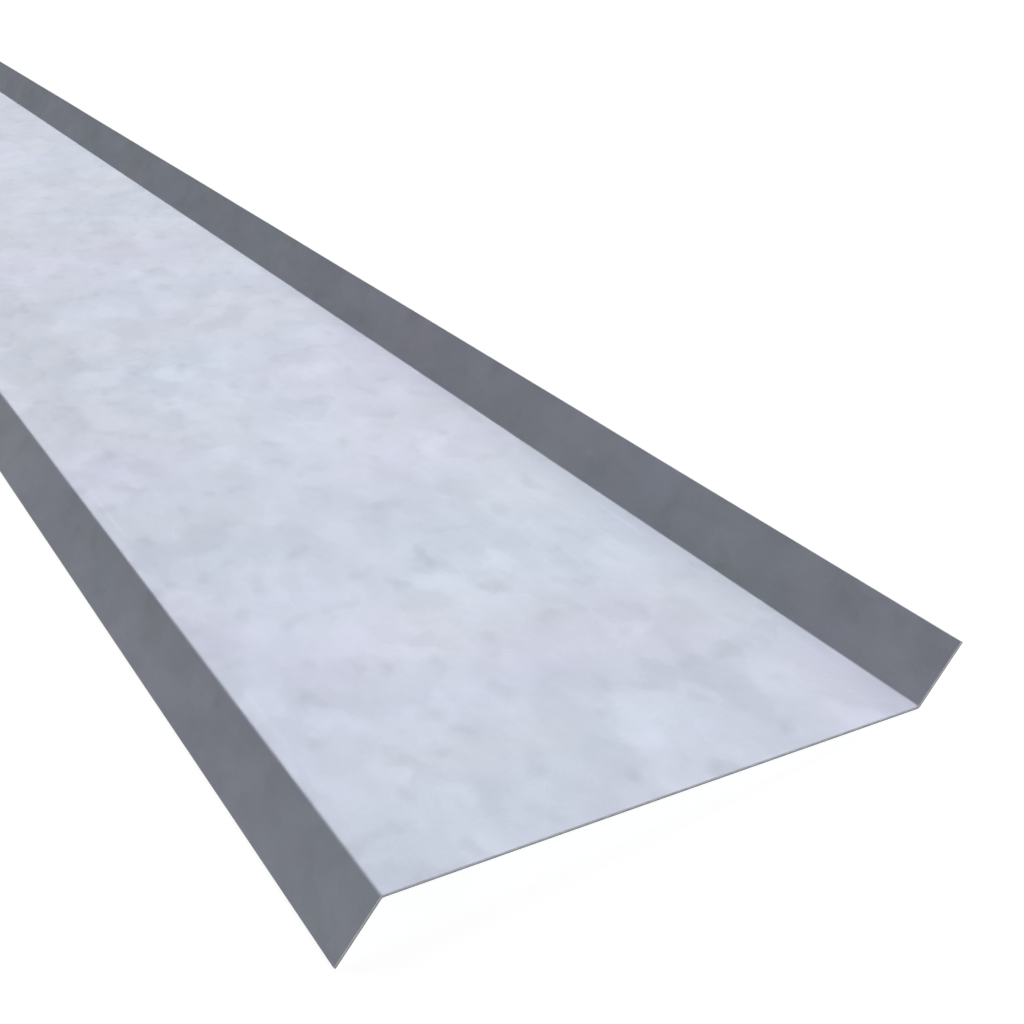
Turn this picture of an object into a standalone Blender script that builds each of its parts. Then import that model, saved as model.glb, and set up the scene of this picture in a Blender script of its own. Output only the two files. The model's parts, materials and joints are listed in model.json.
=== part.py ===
"""Z flashing: one strip of galvanised sheet steel with a leg folded up along one side and down along the other.

Metres, +Z up. The length runs along Y and the raised leg is on the +X side.
The strip lies as it rests on a level floor, on the free edge of its lowered leg and the outside of its raised fold,
so its web slopes a few degrees. The origin is on the floor, under the middle of the strip.
"""

import math

import bmesh
import bpy
from mathutils import Matrix, Vector

INCH = 0.0254

# Driving dimensions
LENGTH = 120 * INCH
WEB_WIDTH = 5.5 * INCH
RAISED_LEG = 0.75 * INCH
LOWERED_LEG = 0.75 * INCH
RAISED_FOLD = math.radians(45)
LOWERED_FOLD = math.radians(45)
SHEET_THICKNESS = 0.0007
INSIDE_RADIUS = 0.0010

# How finely a fold's arc is drawn
ARC_STEP = math.radians(5)
SMOOTH_UP_TO = math.radians(20)

# Bright zinc coating
ZINC_COLOUR = (0.63, 0.66, 0.74, 1.0)
ZINC_ROUGHNESS = 0.45
ZINC_METALLIC = 0.6


def clear_scene():
    for obj in list(bpy.data.objects):
        bpy.data.objects.remove(obj, do_unlink=True)


def middle_radius():
    """Radius of a fold at the middle of the sheet's thickness."""
    return INSIDE_RADIUS + SHEET_THICKNESS / 2


def set_back(fold):
    """Distance from a fold line, where the flats would meet, to where the arc starts on either flat."""
    return middle_radius() * math.tan(fold / 2)


class SheetWalk:
    """Walks across the strip from edge to edge, and marks both skins of the sheet on the way.

    The walk is in the section's plane: x across the strip, y up. A heading of 0 runs along the web to +X,
    and a positive turn folds the sheet upwards.
    """

    def __init__(self, start, heading):
        self.place = Vector(start)
        self.heading = heading
        self.upper = []
        self.lower = []
        self.mark()

    def along(self):
        return Vector((math.cos(self.heading), math.sin(self.heading)))

    def mark(self):
        """Puts a point on each skin, half the sheet's thickness to either side of the walk."""
        up = Vector((-math.sin(self.heading), math.cos(self.heading)))
        self.upper.append(self.place + up * SHEET_THICKNESS / 2)
        self.lower.append(self.place - up * SHEET_THICKNESS / 2)

    def flat(self, distance):
        self.place = self.place + self.along() * distance
        self.mark()

    def fold(self, turn):
        """Follows an arc of the fold's middle radius in equal steps."""
        steps = max(2, round(abs(turn) / ARC_STEP))
        chord = 2 * middle_radius() * math.sin(abs(turn) / steps / 2)
        for _ in range(steps):
            self.heading += turn / steps / 2
            self.place = self.place + self.along() * chord
            self.heading += turn / steps / 2
            self.mark()


def walk_the_section():
    """The strip's section, with the middle of its web at the origin and the web level."""
    lowered_line = Vector((-WEB_WIDTH / 2, 0))
    heading = LOWERED_FOLD
    toward_web = Vector((math.cos(heading), math.sin(heading)))
    walk = SheetWalk(lowered_line - toward_web * LOWERED_LEG, heading)
    walk.flat(LOWERED_LEG - set_back(LOWERED_FOLD))
    walk.fold(-LOWERED_FOLD)
    walk.flat(WEB_WIDTH - set_back(LOWERED_FOLD) - set_back(RAISED_FOLD))
    walk.fold(RAISED_FOLD)
    walk.flat(RAISED_LEG - set_back(RAISED_FOLD))
    return walk


def rest_tilt(walk):
    """How far the strip tips to +X before its raised fold meets the floor that its lowered edge stands on."""
    heel = walk.lower[0]
    across = (point - heel for point in walk.lower if point.x > 0)
    return min(math.atan2(reach.y, reach.x) for reach in across)


def rest_place(outline, tilt):
    """Where the section's origin goes, to stand the tipped strip on the floor with its sides even about x = 0."""
    tipped = [Matrix.Rotation(-tilt, 2) @ point for point in outline]
    left = min(point.x for point in tipped)
    right = max(point.x for point in tipped)
    lowest = min(point.y for point in tipped)
    return Vector((-(left + right) / 2, 0, -lowest))


def zinc_coating():
    material = bpy.data.materials.new("zinc_coating")
    material.use_nodes = True
    shader = material.node_tree.nodes["Principled BSDF"]
    shader.inputs["Base Color"].default_value = ZINC_COLOUR
    shader.inputs["Roughness"].default_value = ZINC_ROUGHNESS
    shader.inputs["Metallic"].default_value = ZINC_METALLIC
    return material


def extruded_section(outline):
    """A closed solid with this section, as long as the strip and centred on its middle."""
    mesh = bpy.data.meshes.new("z_flashing")
    solid = bmesh.new()
    corners = [solid.verts.new((point.x, -LENGTH / 2, point.y)) for point in outline]
    near_end = solid.faces.new(corners)
    grown = bmesh.ops.extrude_face_region(solid, geom=[near_end])
    far_corners = [item for item in grown["geom"] if isinstance(item, bmesh.types.BMVert)]
    bmesh.ops.translate(solid, verts=far_corners, vec=(0, LENGTH, 0))
    bmesh.ops.recalc_face_normals(solid, faces=solid.faces)
    solid.to_mesh(mesh)
    solid.free()
    mesh.shade_smooth()
    mesh.set_sharp_from_angle(angle=SMOOTH_UP_TO)
    return mesh


def build_flashing():
    walk = walk_the_section()
    outline = walk.upper + walk.lower[::-1]
    mesh = extruded_section(outline)
    mesh.materials.append(zinc_coating())
    flashing = bpy.data.objects.new("z_flashing", mesh)
    tilt = rest_tilt(walk)
    flashing.rotation_euler.y = tilt
    flashing.location = rest_place(outline, tilt)
    bpy.context.collection.objects.link(flashing)
    even_shading = flashing.modifiers.new("even_shading", "WEIGHTED_NORMAL")
    even_shading.keep_sharp = True
    return flashing


clear_scene()
build_flashing()
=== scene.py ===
import json
import math

import bmesh
import bpy
from mathutils import Matrix, Vector


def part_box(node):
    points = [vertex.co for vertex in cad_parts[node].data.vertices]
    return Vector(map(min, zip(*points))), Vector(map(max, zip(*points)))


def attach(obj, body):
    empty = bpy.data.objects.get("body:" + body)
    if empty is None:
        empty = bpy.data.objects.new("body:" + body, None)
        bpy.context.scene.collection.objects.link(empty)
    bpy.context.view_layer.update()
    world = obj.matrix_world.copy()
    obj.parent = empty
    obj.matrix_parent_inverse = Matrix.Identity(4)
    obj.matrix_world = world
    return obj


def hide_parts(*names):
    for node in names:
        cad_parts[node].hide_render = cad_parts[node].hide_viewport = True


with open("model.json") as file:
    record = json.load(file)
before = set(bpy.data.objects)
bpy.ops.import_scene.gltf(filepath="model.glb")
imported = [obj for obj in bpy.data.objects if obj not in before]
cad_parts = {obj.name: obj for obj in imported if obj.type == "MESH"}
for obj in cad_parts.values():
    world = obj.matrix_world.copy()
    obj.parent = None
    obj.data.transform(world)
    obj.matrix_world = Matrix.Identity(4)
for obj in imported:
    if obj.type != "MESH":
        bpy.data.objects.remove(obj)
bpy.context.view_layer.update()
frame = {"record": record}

# THE STRIP
# One length of galvanised sheet steel, folded on a brake: a nailing leg up along one side of the web, and a
# drip leg down along the other. It lies loose on the floor, on its drip edge and the raised fold's outside.
inch = 0.0254
web_width = 5.5 * inch
leg_width = 0.75 * inch
fold_angle = math.radians(45)
fold_steps = 9
sheet_thickness = 0.0007
inside_radius = 0.0010
fold_radius = inside_radius + sheet_thickness / 2
set_back = fold_radius * math.tan(fold_angle / 2)
low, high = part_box("z_flashing")
strip_length = high.y - low.y


def aimed(heading):
    """Gives the direction along the sheet's section for a heading."""
    return Vector((math.cos(heading), math.sin(heading)))


def flat(walk, distance, parts):
    """Adds a flat to the walk across the sheet. A narrow band at each end keeps a fold's shading off it."""
    place, heading, across = walk[-1][:3]
    narrow = 0.0004
    stops = [narrow + (distance - 2 * narrow) * i / parts for i in range(parts + 1)] + [distance]
    for stop in stops:
        walk.append((place + aimed(heading) * stop, heading, across + stop, 0.0))


def fold(walk, turn):
    """Adds a fold to the walk, as a true arc at the middle of the sheet's thickness."""
    for _ in range(fold_steps):
        place, heading, across = walk[-1][:3]
        heading += turn / fold_steps
        chord = aimed(heading - turn / fold_steps / 2)
        reach = 2 * fold_radius * math.sin(abs(turn) / fold_steps / 2)
        walk.append((place + chord * reach, heading, across + reach, 1.0))
    place, heading, across = walk[-1][:3]
    walk[-1] = (place, heading, across, 0.5)


# At each stop the walk has the place at the middle of the thickness, the heading, the distance walked, and
# how much a fold strains the sheet there, from 0 to 1.
walk = [(Vector((-web_width / 2, 0)) - aimed(fold_angle) * leg_width, fold_angle, 0.0, 0.0)]
flat(walk, leg_width - set_back, 4)
fold(walk, -fold_angle)
flat(walk, web_width - 2 * set_back, 14)
fold(walk, fold_angle)
flat(walk, leg_width - set_back, 4)
developed_width = walk[-1][2]

# The shears leave each cut corner rounded over by about a tenth of a millimetre.
corner_round = 0.00012
least_round = 0.3 * corner_round


def cut_section(inset):
    """Gives the sheet's outline across the strip, drawn in all round by inset: the upper skin, one cut edge,
    the lower skin back again, and the other cut edge. Each point has its place, its distance across the flat
    sheet, its share of the way round the cut edge if it is on one, and its fold strain."""
    corner = max(corner_round - inset, least_round)
    half = sheet_thickness / 2 - inset
    outline = []

    def skin(stops, side):
        for i in stops:
            place, heading, across, strain = walk[i]
            if i == 0:
                step = inset + corner
            elif i == len(walk) - 1:
                step = -inset - corner
            else:
                step = 0.0
            along = aimed(heading)
            up = Vector((-along.y, along.x))
            outline.append((place + along * step + up * side * half, across + step, None, strain))

    def cut_edge(i, outward, side):
        place, heading, across, strain = walk[i]
        along = aimed(heading)
        up = Vector((-along.y, along.x))
        arc = corner * math.pi / 4
        face = 2 * (half - corner)
        spots = [(45, 1, arc), (90, 1, 2 * arc), (90, -1, 2 * arc + face), (45, -1, 3 * arc + face)]
        for turn, which, passed in spots:
            out = math.sin(math.radians(turn)) * corner - inset - corner
            rise = half - corner + math.cos(math.radians(turn)) * corner
            outline.append((place + along * outward * out + up * side * which * rise, across,
                            passed / (4 * arc + face), strain))

    skin(range(len(walk)), 1)
    cut_edge(len(walk) - 1, 1, 1)
    skin(reversed(range(len(walk))), -1)
    cut_edge(0, -1, -1)
    return outline


# The record's web face says how far the strip leans at rest, and its node's box says where it lies.
under_web = next(mount for mount in frame["record"]["mounts"] if mount["name"] == "web_underside")
rest_tilt = math.atan2(-under_web["axis"][0], -under_web["axis"][2])
lean = Matrix.Rotation(rest_tilt, 4, "Y")
leaned = [lean @ Vector((place.x, 0, place.y)) for place, across, round_edge, strain in cut_section(0.0)]
section_middle = Vector(((min(p.x for p in leaned) + max(p.x for p in leaned)) / 2, 0,
                         (min(p.z for p in leaned) + max(p.z for p in leaned)) / 2))
at_rest = Matrix.Translation((low + high) / 2 - section_middle) @ lean

# Sheet that comes off a coil isn't quite flat: the web swells between its folds, and the cut edges wave.
swell = 0.00009
wave = 0.00006


def web_swell(y):
    """Says how far the web swells, in metres, at this place along the strip: two long waves on a crown."""
    return swell * (1 + 0.6 * math.sin(y * 14.3 + 0.4) + 0.4 * math.sin(y * 23.9 + 2.1))


def edge_wave(y, start):
    """Says how far a cut edge waves out of its leg's plane, in metres, at this place along the strip."""
    return wave * (math.sin(y * 17.1 + start) + 0.5 * math.sin(y * 41.0 + 2.7 * start))


# The strip is built as rings round its section, from the near end to the far one. The first few rings and the
# last few are drawn in, to round the corners of the cut ends.
length_parts = 240
rings = []
for turn in (90, 45):
    rings.append((low.y + corner_round * (1 - math.sin(math.radians(turn))),
                  corner_round * (1 - math.cos(math.radians(turn)))))
end_rings = len(rings)
for j in range(length_parts + 1):
    y = low.y + strip_length * j / length_parts
    rings.append((min(max(y, low.y + corner_round), high.y - corner_round), 0.0))
rings += [(low.y + high.y - y, inset) for y, inset in reversed(rings[:end_rings])]

web_from, web_to = leg_width - set_back, developed_width - leg_width + set_back
strip_mesh = bpy.data.meshes.new("z_flashing_sheet")
strip = bpy.data.objects.new("z_flashing_sheet", strip_mesh)
bpy.context.collection.objects.link(strip)
sheet = bmesh.new()
unfolded = sheet.loops.layers.uv.new("unfolded")
bake_sheet = sheet.loops.layers.uv.new("OFBake")
strained = sheet.verts.layers.float.new("fold_strain")
loops = []
for y, inset in rings:
    loop = []
    for place, across, round_edge, strain in cut_section(inset):
        x, z = place
        if web_from < across < web_to:
            z += web_swell(y) * math.sin(math.pi * (across - web_from) / (web_to - web_from)) ** 2
        elif across <= web_from:
            z += edge_wave(y, 1.0) * (1 - across / web_from) ** 2
        else:
            z += edge_wave(y, 4.0) * ((across - web_to) / (developed_width - web_to)) ** 2
        corner = sheet.verts.new(at_rest @ Vector((x, 0, z)) + Vector((0, y, 0)))
        corner[strained] = strain
        loop.append(corner)
    loops.append(loop)

# Two maps go on with the faces. One is the unfolded sheet in metres, which the finishes are drawn on: the
# upper skin, then the underside 1 m to one side, the long cut edges 2 m and the cut ends 3 m, with the second
# edge and the second end a tenth of a metre further.
# The other lays the strip out on a square: both skins in three lengths each, side by side, then the long cut
# edges in three lengths each, and the cut ends above.
outline = cut_section(0.0)
wide, edge_points = len(walk), 4
first_edge, under_skin, second_edge = wide, wide + edge_points, 2 * wide + edge_points
zinc_slot, steel_slot = 0, 1
underside_at, edges_at, ends_at, second_by = 1, 2, 3, 0.1
lengths, gap, edge_band = 3, 0.0056, 0.0044
one_length = strip_length / lengths
skin_column, edge_column = developed_width + gap, edge_band + gap
edges_from = gap + 2 * lengths * skin_column
square = 2 * lengths * skin_column + 2 * lengths * edge_column + gap


def add_face(corners, slot, places):
    """Adds a smooth face with its material slot and, for each corner, its place on the two maps."""
    face = sheet.faces.new(corners)
    face.smooth = True
    face.material_index = slot
    for loop, (on_sheet, on_square) in zip(face.loops, places):
        loop[unfolded].uv = on_sheet
        loop[bake_sheet].uv = (on_square[0] / square, on_square[1] / square)


def skin_places(across, y, under, part):
    """Places a point of the upper skin or the underside, which is in the given part of the length."""
    return ((underside_at * under + across, y),
            (gap + (lengths * under + part) * skin_column + across, gap + y - part * one_length))


def edge_places(round_edge, y, second, part):
    """Places a point of a long cut edge, which is in the given part of the length."""
    return ((edges_at + second_by * second + round_edge * sheet_thickness, y),
            (edges_from + (part + lengths * second) * edge_column + round_edge * edge_band,
             gap + y - part * one_length))


def end_places(end, across, deep, bulge=0.0):
    """Places a point of a cut end, which is the given share of the thickness deep."""
    return ((ends_at + second_by * end + deep * sheet_thickness, across),
            (gap + end * (developed_width + 3 * gap) + across + bulge,
             one_length + 3 * gap + (1 - deep) * edge_band))


last = len(rings) - 1
for j in range(last):
    part = min(max(j - end_rings, 0), length_parts - 1) // (length_parts // lengths)
    for i in range(len(outline)):
        after = (i + 1) % len(outline)
        on_upper, on_under = i < first_edge - 1, under_skin <= i < second_edge - 1
        second = i >= second_edge - 1
        edge_start, edge_stop = (second_edge - 1, 0) if second else (first_edge - 1, under_skin)
        places = []
        for a, b in ((i, j), (after, j), (after, j + 1), (i, j + 1)):
            y = rings[b][0] - low.y
            if on_upper or on_under:
                places.append(skin_places(outline[a][1], y, on_under, part))
            elif a == edge_start:
                places.append(edge_places(0.0, y, second, part))
            elif a == edge_stop:
                places.append(edge_places(1.0, y, second, part))
            else:
                places.append(edge_places(outline[a][2], y, second, part))
        add_face((loops[j][i], loops[j][after], loops[j + 1][after], loops[j + 1][i]),
                 zinc_slot if on_upper or on_under else steel_slot, places)

# Each cut end is a row of faces from skin to skin, closed at both edges by a face with six corners. That face
# has hardly any width, so it bulges a little on the square map.
top_deep, bottom_deep = 0.12, 0.88
edge_deep = [top_deep, 0.2, 0.35, 0.65, 0.8, bottom_deep]
edge_bulge = 0.0012
for end, j in enumerate((0, last)):
    for i in range(wide - 1):
        over = ((i, top_deep), (i + 1, top_deep))
        under = ((second_edge - 2 - i, bottom_deep), (second_edge - 1 - i, bottom_deep))
        add_face([loops[j][a] for a, deep in over + under], steel_slot,
                 [end_places(end, outline[a][1], deep) for a, deep in over + under])
    for edge_start, at, bulge, depths in ((first_edge, developed_width, edge_bulge, edge_deep),
                                          (second_edge, 0.0, -edge_bulge, edge_deep[::-1])):
        add_face([loops[j][(edge_start - 1 + k) % len(outline)] for k in range(edge_points + 2)], steel_slot,
                 [end_places(end, at, deep, bulge * (k in (2, 3))) for k, deep in enumerate(depths)])
bmesh.ops.recalc_face_normals(sheet, faces=sheet.faces)
sheet.to_mesh(strip_mesh)
sheet.free()

even_shading = strip.modifiers.new("even shading", "WEIGHTED_NORMAL")
even_shading.mode = "FACE_AREA"
even_shading.weight = 50
even_shading.keep_sharp = True


def node(kind, feeds, **panel):
    """Adds a node to the finish in hand; each feed is a number, a colour or another node's output."""
    added = finish.nodes.new("ShaderNode" + kind)
    for name, value in panel.items():
        setattr(added, name, value)
    for socket, value in feeds.items():
        if isinstance(value, bpy.types.NodeSocket):
            finish.links.new(value, added.inputs[socket])
        else:
            added.inputs[socket].default_value = value
    return added


def number(operation, *feeds):
    """Works one number out from others, each a plain number or a node's output."""
    return node("Math", dict(enumerate(feeds)), operation=operation).outputs[0]


def point(operation, *feeds):
    """Works one point, or one colour, out from others."""
    return node("VectorMath", dict(enumerate(feeds)), operation=operation).outputs[0]


def stretched(where, across, along):
    """Counts a point's way across and along the strip in other steps. What is drawn there comes out that many
    times smaller each way."""
    return point("MULTIPLY", where, (across, along, 1.0))


def blotches(where, scale, detail, roughness=0.5, distortion=0.0, dimensions="2D"):
    """Draws soft blotches, about scale of them to each step of the point that they are drawn on."""
    return node("TexNoise", {"Vector": where, "Scale": scale, "Detail": detail, "Roughness": roughness,
                             "Distortion": distortion}, noise_dimensions=dimensions).outputs


def between(reading, start, stop, first=0.0, then=1.0, **panel):
    """Leads from one number to another while the reading goes from start to stop, and holds it beyond."""
    return node("MapRange", {0: reading, 1: start, 2: stop, 3: first, 4: then}, **panel).outputs[0]


def blend(share, first, then, **panel):
    """Blends two colours by a share of the second."""
    return node("Mix", {0: share, 6: first, 7: then}, data_type="RGBA", **panel).outputs[2]


def sum_of(base, *shares):
    """Adds to base each reading's distance from its middle, times its strength."""
    total = base
    for reading, middle, strength in shares:
        total = number("ADD", total, number("MULTIPLY_ADD", reading, strength, -middle * strength))
    return total


# Hot-dip zinc over steel. It froze on the coil as flat crystals a centimetre or so across, each with its own
# sheen and its own lie of fine feathers, and it has since dulled to a soft blue grey.
zinc = bpy.data.materials.new("zinc_coating")
zinc.use_nodes = True
finish = zinc.node_tree
zinc_shader = finish.nodes["Principled BSDF"]
on_sheet = node("UVMap", {}, uv_map="unfolded").outputs[0]

# The coil ran fast while the zinc froze, so crystals and clouds are drawn out along the strip. Their edges
# are ragged, so the place that picks a crystal is first pushed about by a few millimetres.
drawn_out = stretched(on_sheet, 1.0, 0.52)
ragged = blotches(drawn_out, 150.0, 4.0, roughness=0.6)["Color"]
push = point("SUBTRACT", ragged, (0.5, 0.5, 0.5))
pushed = point("MULTIPLY_ADD", push, (0.009, 0.009, 0.0), drawn_out)
crystals_to_a_metre, small_to_a_metre = 96.0, 230.0


def crystals(scale, feature="F1", **softness):
    """Parts the sheet into crystals, scale of them to a metre, and gives three numbers of each one's own."""
    colour = node("TexVoronoi", {"Vector": pushed, "Scale": scale, **softness}, voronoi_dimensions="2D",
                  feature=feature).outputs["Color"]
    return node("SeparateColor", {0: colour}).outputs


crystal_own = crystals(crystals_to_a_metre, "SMOOTH_F1", Smoothness=0.8)
small_own = crystals(small_to_a_metre, "SMOOTH_F1", Smoothness=0.8)
sharp_own = crystals(crystals_to_a_metre)

# Feathers run a different way in each crystal, a little over half a millimetre wide and 4 mm long.
full_turn = 6.283
lie = number("MULTIPLY", sharp_own[1], full_turn)
turned = node("VectorRotate", {"Vector": on_sheet, "Angle": lie}, rotation_type="Z_AXIS").outputs[0]
feathers = blotches(stretched(turned, 1.0, 0.16), 1500.0, 2.0, roughness=0.55)["Fac"]

# Broader drifts come from the way the coil cooled and from weather, and small darker flecks from dross.
broad = blotches(stretched(on_sheet, 1.0, 0.45), 13.0, 1.0)["Fac"]
drift = blotches(stretched(on_sheet, 1.0, 0.34), 34.0, 3.0, roughness=0.55, distortion=0.6)["Fac"]
tint = blotches(on_sheet, 9.0, 2.0, dimensions="3D")["Fac"]
straw = blotches(on_sheet, 16.0, 1.0)["Fac"]
wisps = blotches(pushed, 78.0, 2.0, roughness=0.45, distortion=0.8)["Fac"]
speckle = blotches(drawn_out, 120.0, 1.0, roughness=0.4)["Fac"]
fleck = between(speckle, 0.58, 0.86, interpolation_type="SMOOTHSTEP")

# Bending stretches the zinc at a fold until it crazes: hair lines along the fold, and a duller, paler skin.
strain = node("Attribute", {}, attribute_name="fold_strain").outputs["Fac"]
hair = blotches(stretched(on_sheet, 4200.0, 170.0), 1.0, 2.0)["Fac"]
craze = number("MULTIPLY", hair, strain)

# The brake's nose and bed leave a faint rubbed line on each side of a fold, stronger in some places.
line_on_leg, line_on_web, line_half = 0.0042, 0.0048, 0.0005
across_sheet = node("SeparateXYZ", {0: point("FRACTION", on_sheet)}).outputs[0]
patchy = blotches(stretched(on_sheet, 260.0, 16.0), 1.0, 2.0)["Fac"]
rubbed = 0.0
for line in (web_from - line_on_leg, web_from + line_on_web, web_to - line_on_web, web_to + line_on_leg):
    rubbed = number("ADD", rubbed, number("COMPARE", across_sheet, line, line_half))
rubbed = number("MULTIPLY", rubbed, between(patchy, 0.45, 0.75))

# Stacked strips slide on each other lengthwise, which leaves a few long hair scratches.
slid = blotches(stretched(on_sheet, 1900.0, 5.0), 1.0, 1.0)["Fac"]
scratch = between(slid, 0.74, 0.80)

# All of these make the zinc darker or paler, and two slow changes of hue go over that.
tone = sum_of(0.5, (crystal_own[0], 0.5, 0.13), (small_own[0], 0.5, 0.12), (sharp_own[0], 0.5, 0.10),
              (feathers, 0.5, 0.32), (broad, 0.5, 0.30), (drift, 0.5, 0.46), (wisps, 0.5, 0.38),
              (fleck, 0.06, -0.20), (craze, 0.0, 0.18), (rubbed, 0.0, 0.09), (scratch, 0.0, 0.08))
dark_zinc, pale_zinc = (0.517, 0.549, 0.642, 1), (0.725, 0.765, 0.892, 1)
toward_green, toward_violet = (0.976, 1.006, 0.990, 1), (1.024, 0.994, 1.012, 1)
toward_blue, toward_straw = (0.996, 0.999, 1.013, 1), (1.004, 1.001, 0.987, 1)
colour = blend(tone, dark_zinc, pale_zinc)
shade = blend(between(tint, 0.35, 0.65), toward_green, toward_violet)
colour = blend(1.0, colour, shade, blend_type="MULTIPLY")
warmth = blend(between(straw, 0.3, 0.7), toward_blue, toward_straw)
colour = blend(1.0, colour, warmth, blend_type="MULTIPLY")
finish.links.new(colour, zinc_shader.inputs["Base Color"])

# They also set how dull it is, and the shallow relief that light from the side picks out.
dullness = sum_of(0.45, (crystal_own[2], 0.5, 0.035), (sharp_own[2], 0.5, 0.02), (feathers, 0.5, 0.08),
                  (wisps, 0.5, 0.05), (fleck, 0.0, 0.02), (strain, 0.0, 0.05), (rubbed, 0.0, -0.06),
                  (scratch, 0.0, -0.08))
finish.links.new(dullness, zinc_shader.inputs["Roughness"])
zinc_shader.inputs["Metallic"].default_value = 0.6

relief = sum_of(0.0, (feathers, 0.5, 0.5), (crystal_own[1], 0.5, 0.4), (fleck, 0.0, 0.6),
                (craze, 0.0, -1.2), (scratch, 0.0, -0.7))
raised = node("Bump", {"Height": relief, "Distance": 0.00003, "Strength": 0.35})
finish.links.new(raised.outputs[0], zinc_shader.inputs["Normal"])
strip_mesh.materials.append(zinc)

# The cut edges show bare steel. The shears burnish the first part of the thickness and tear the rest, and
# smear a little zinc over the corner that they press on.
bare_steel = bpy.data.materials.new("sheared_steel")
bare_steel.use_nodes = True
finish = bare_steel.node_tree
steel_shader = finish.nodes["Principled BSDF"]
on_edge = node("UVMap", {}, uv_map="unfolded").outputs[0]
in_steps = node("SeparateXYZ", {0: stretched(on_edge, 1 / second_by, 1.0)}).outputs[0]
deep = number("MULTIPLY", number("FRACT", in_steps), second_by / sheet_thickness)
tear_lines = blotches(stretched(on_edge, 900.0, 4200.0), 1.0, 3.0, roughness=0.65)["Fac"]
tear_depth = blotches(stretched(on_edge, 0.0, 420.0), 1.0, 2.0)["Fac"]
ragged_deep = sum_of(deep, (tear_depth, 0.5, 0.5), (tear_lines, 0.5, 0.25))

# From one skin to the other: smeared zinc, then the burnished band, then the torn band, and a bright burr.
bands = node("ValToRGB", {0: ragged_deep})
band_stops = [(0.0, (0.60, 0.63, 0.70, 1)), (0.12, (0.56, 0.58, 0.63, 1)), (0.22, (0.48, 0.49, 0.51, 1)),
              (0.42, (0.44, 0.45, 0.465, 1)), (0.52, (0.31, 0.312, 0.32, 1)),
              (0.90, (0.28, 0.282, 0.29, 1)), (1.0, (0.46, 0.47, 0.49, 1))]
bands.color_ramp.elements[0].position, bands.color_ramp.elements[0].color = band_stops[0]
bands.color_ramp.elements[1].position, bands.color_ramp.elements[1].color = band_stops[-1]
for position, band_colour in band_stops[1:-1]:
    bands.color_ramp.elements.new(position).color = band_colour
grain = between(tear_lines, 0.3, 0.7, 0.82, 1.18)
steel_colour = blend(1.0, bands.outputs[0], grain, blend_type="MULTIPLY")
finish.links.new(steel_colour, steel_shader.inputs["Base Color"])
steel_dullness = between(ragged_deep, 0.35, 0.55, 0.38, 0.62)
finish.links.new(steel_dullness, steel_shader.inputs["Roughness"])
steel_shader.inputs["Metallic"].default_value = 0.7
torn = node("Bump", {"Height": tear_lines, "Distance": 0.00002, "Strength": 0.5})
finish.links.new(torn.outputs[0], steel_shader.inputs["Normal"])
strip_mesh.materials.append(bare_steel)

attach(strip, "root")
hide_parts("z_flashing")

# THE STUDIO FLOOR
# Plain white matt paper, level under the strip and on past what any view shows. Far off it has a low wall of
# the same paper behind the near end and both sides. The far end is left open, so that the web and legs mirror
# the dim room. The paper lies a hair below the strip, so that the two never share a plane.
paper_reach, paper_sides = 120.0, 96
wall_foot, wall_top = -0.5, 25.0
wall_start, wall_stop = math.radians(60), math.radians(300)
clear_of_strip = 0.0002
floor_mesh = bpy.data.meshes.new("studio_floor")
floor = bpy.data.objects.new("studio_floor", floor_mesh)
bpy.context.collection.objects.link(floor)
paper_sheet = bmesh.new()
bmesh.ops.create_circle(paper_sheet, cap_ends=True, segments=paper_sides, radius=paper_reach)
wall_posts = []
for k in range(paper_sides + 1):
    round_by = wall_start + (wall_stop - wall_start) * k / paper_sides
    x, y = paper_reach * math.sin(round_by), paper_reach * math.cos(round_by)
    wall_posts.append([paper_sheet.verts.new((x, y, height)) for height in (wall_foot, wall_top)])
for post, after in zip(wall_posts, wall_posts[1:]):
    paper_sheet.faces.new((post[0], post[1], after[1], after[0]))
paper_sheet.to_mesh(floor_mesh)
paper_sheet.free()
floor.location.z = low.z - clear_of_strip


def seen_or_mirrored():
    """Tells what is seen, straight on, in a mirror or through glass, from what only throws its light."""
    ray = node("LightPath", {}).outputs
    return number("MAXIMUM", number("MAXIMUM", ray["Is Camera Ray"], ray["Is Glossy Ray"]),
                  ray["Is Transmission Ray"])


# Paper that is seen, or is mirrored in the metal, shows near white with the shadow on it. The light that it
# throws back is that of plain matt paper.
paper = bpy.data.materials.new("white_paper")
paper.use_nodes = True
finish = paper.node_tree
finish.nodes.clear()
glow = node("Emission", {"Strength": 0.89})
shadow_catch = node("BsdfDiffuse", {"Color": (0.3, 0.3, 0.3, 1)})
seen = node("AddShader", {0: glow.outputs[0], 1: shadow_catch.outputs[0]})
bounce = node("BsdfDiffuse", {"Color": (0.8, 0.8, 0.8, 1)})
paper_face = node("MixShader", {0: seen_or_mirrored(), 1: bounce.outputs[0], 2: seen.outputs[0]})
node("OutputMaterial", {"Surface": paper_face.outputs[0]})
floor_mesh.materials.append(paper)

# THE STUDIO LIGHT
# One very large softbox, high and beyond the far end, whose soft shine fills the web along its whole length.
# A smaller one stands on the same side, behind the near end, for whoever looks from the far end. A dim even
# fill from all round lights the legs, which lean away from both.
stand_off = 7.0


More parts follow.
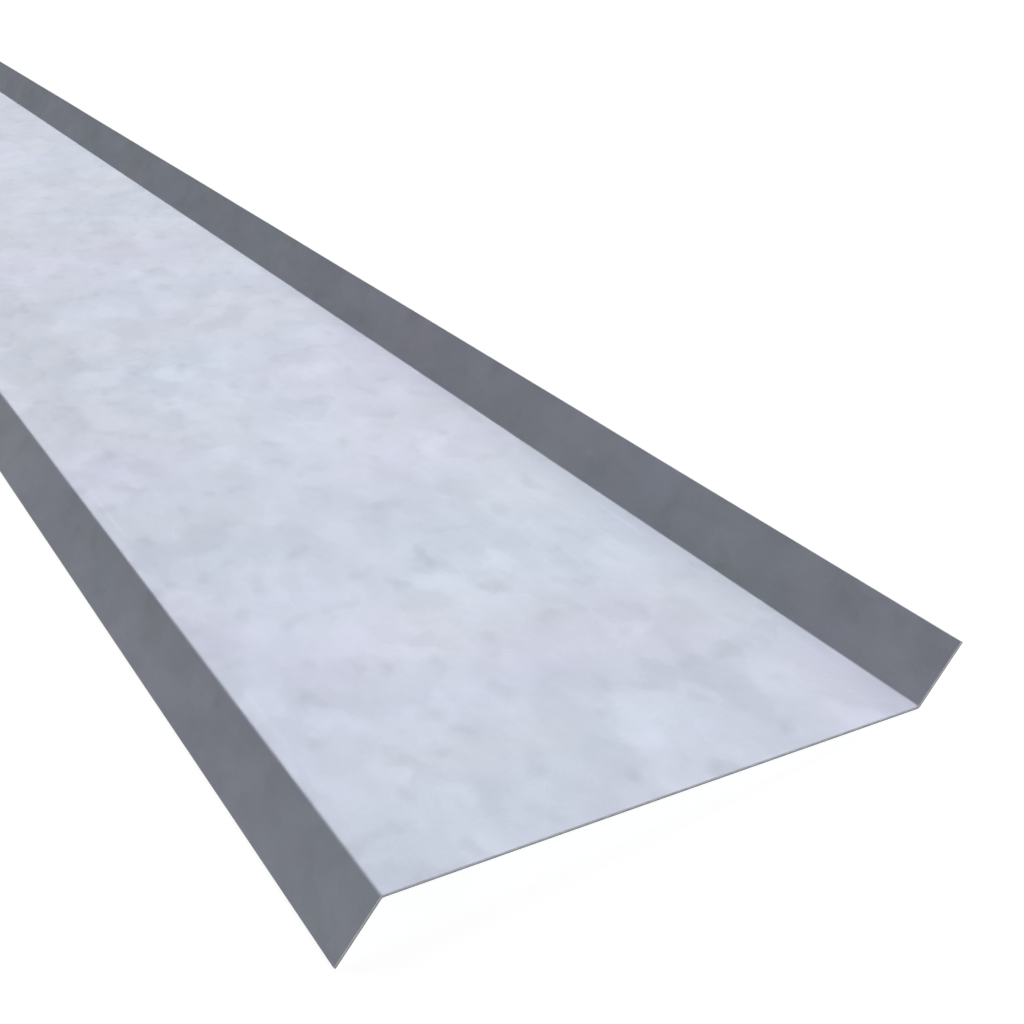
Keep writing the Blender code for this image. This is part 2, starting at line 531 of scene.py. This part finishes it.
def hang_softbox(name, watts, width, azimuth, elevation):
    """Hangs a square softbox, azimuth degrees round from +Y towards +X, and turns it to the strip."""
    lamp = bpy.data.lights.new(name, "AREA")
    lamp.shape = "SQUARE"
    lamp.size = width
    lamp.energy = watts
    stand = bpy.data.objects.new(name, lamp)
    bpy.context.collection.objects.link(stand)
    round_by, up_by = math.radians(azimuth), math.radians(elevation)
    toward_light = Vector((math.sin(round_by) * math.cos(up_by), math.cos(round_by) * math.cos(up_by),
                           math.sin(up_by)))
    stand.location = toward_light * stand_off
    stand.rotation_euler = toward_light.to_track_quat("Z", "Y").to_euler()
    stand.visible_camera = False


hang_softbox("large_softbox", watts=285, width=8.0, azimuth=32, elevation=40)
hang_softbox("small_softbox", watts=70, width=5.0, azimuth=132, elevation=26)

# Low down on the open side the fill turns as pale as the paper, as a hung backdrop does where it meets the
# floor. It fades upwards, and is the plain fill again 10 degrees above the horizon, where the ray's rise is
# fade_top of its length.
fill_strength, pale_strength = 0.173, 0.93
fade_top, fade_power = 0.17, 4.0
world = bpy.data.worlds.new("studio_fill")
world.use_nodes = True
finish = world.node_tree
finish.nodes.clear()
fill = node("Background", {"Color": (1, 1, 1, 1), "Strength": fill_strength})
pale = node("Background", {"Color": (1, 1, 1, 1), "Strength": pale_strength})
height = node("SeparateXYZ", {0: node("TexCoord", {}).outputs["Generated"]}).outputs["Z"]
paleness = number("POWER", between(height, 0.0, fade_top, 1.0, 0.0), fade_power)
pale_part = number("MULTIPLY", paleness, seen_or_mirrored())
backdrop = node("MixShader", {0: pale_part, 1: fill.outputs[0], 2: pale.outputs[0]})
node("OutputWorld", {"Surface": backdrop.outputs[0]})
bpy.context.scene.world = world

# THE CAMERA
# It stands a little beyond the near end, to the strip's left, and looks along the strip and down on it. It is
# rolled by 13 degrees, as the photograph's camera was.
camera = bpy.data.objects.new("camera", bpy.data.cameras.new("camera"))
bpy.context.collection.objects.link(camera)
camera.data.lens = 74.04
camera.data.sensor_width = 36
camera.data.clip_start = 0.01
stands_at = Vector((-0.150083, -1.910394, 0.269338))
heading, tipped_down, rolled = math.radians(18.6688), math.radians(23.9614), math.radians(-13.4092)
aim = (Matrix.Rotation(-heading, 4, "Z") @ Matrix.Rotation(math.pi / 2 - tipped_down, 4, "X")
       @ Matrix.Rotation(rolled, 4, "Z"))
camera.matrix_world = Matrix.Translation(stands_at) @ aim
bpy.context.scene.camera = camera
bpy.context.scene.view_settings.view_transform = "Standard"
